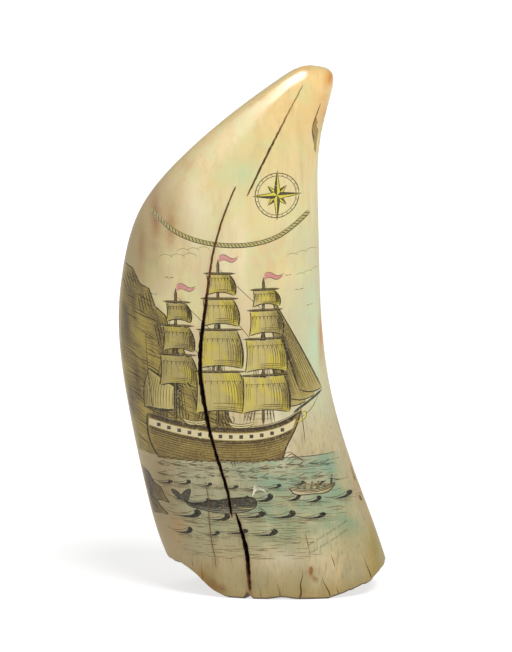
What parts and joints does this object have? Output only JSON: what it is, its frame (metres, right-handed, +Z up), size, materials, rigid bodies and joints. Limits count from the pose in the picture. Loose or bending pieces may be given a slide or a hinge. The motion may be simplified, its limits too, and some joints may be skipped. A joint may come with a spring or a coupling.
{
  "type": "scrimshaw whale tooth",
  "caption": "Curved, polished whale tooth standing on its hollow root, split by long age cracks, its broad side engraved and tinted with a nautical scene.",
  "frame": {"origin": "on the surface that the tooth stands on, below the centre of its bounding box", "axes": "+Z up, the engraved face looks along -Y, the tip leans towards +X"},
  "size_m": [0.0858, 0.047, 0.17],
  "materials": {
    "ivory": "polished tooth ivory, cream with amber tip and brown stained root edge, dark age cracks, inked engraving"
  },
  "bodies": {
    "root": {"whale_tooth": "ivory"}
  },
  "joints": []
}
